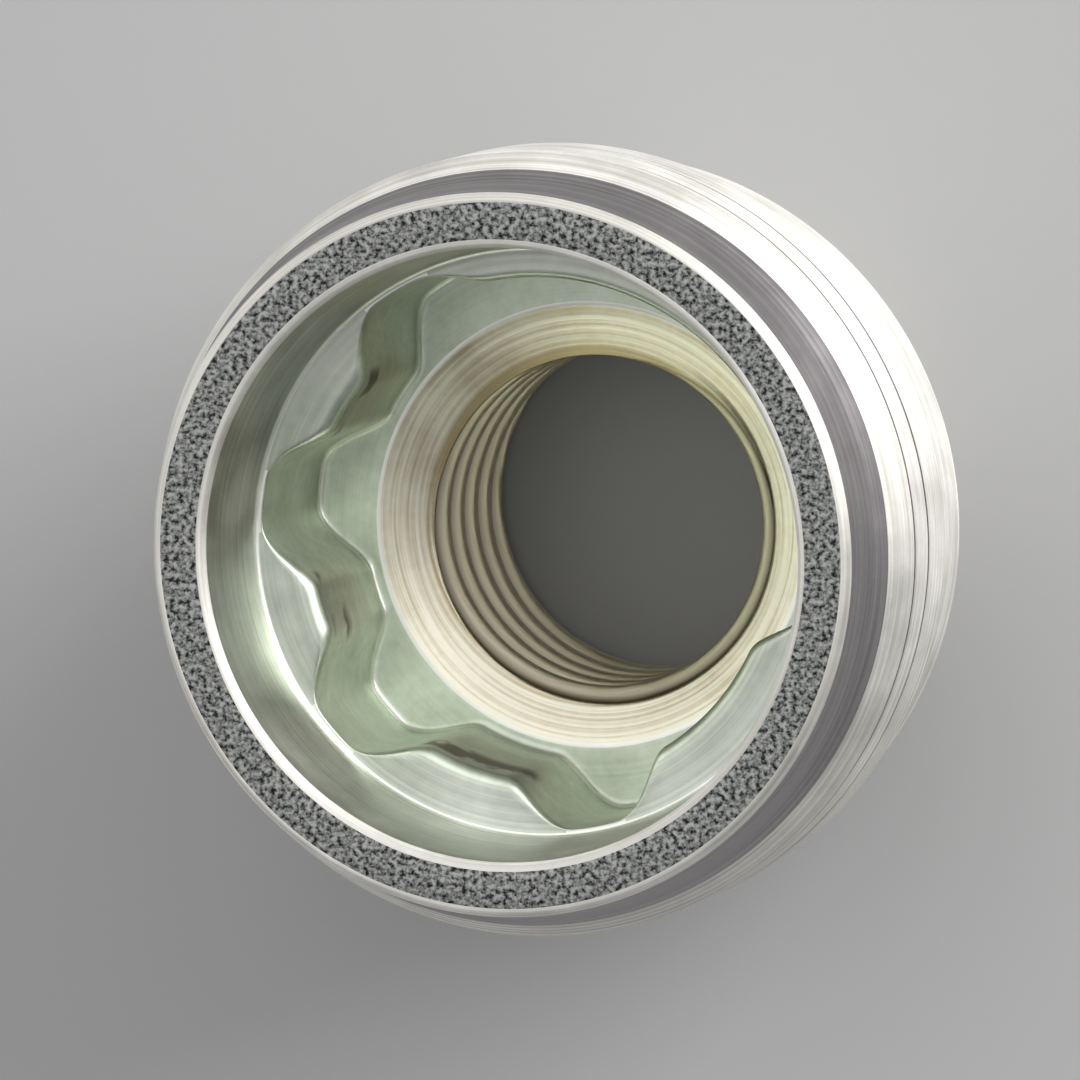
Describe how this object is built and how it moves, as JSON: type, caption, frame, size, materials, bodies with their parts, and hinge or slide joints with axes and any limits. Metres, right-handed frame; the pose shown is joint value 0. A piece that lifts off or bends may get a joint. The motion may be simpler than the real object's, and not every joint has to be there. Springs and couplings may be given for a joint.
{
  "type": "locking wheel nut",
  "caption": "Open-ended locking wheel nut: round plated steel body with a cone seat, a stud thread through it and a wavy key socket sunk in its rim end.",
  "frame": {"origin": "centre of the flat seat end, on the nut's axis", "axes": "+Z along the axis from the seat end to the rim face that the key enters; +X and +Y only set the angle of the key pattern"},
  "size_m": [0.0244, 0.0244, 0.019],
  "materials": {
    "plated_steel": "bright plated outside with fine turned lines, speckled dark rim face, grey-green plating in the socket and pale gold plating in the bore"
  },
  "bodies": {
    "root": {"nut_body": "plated_steel"}
  },
  "joints": []
}
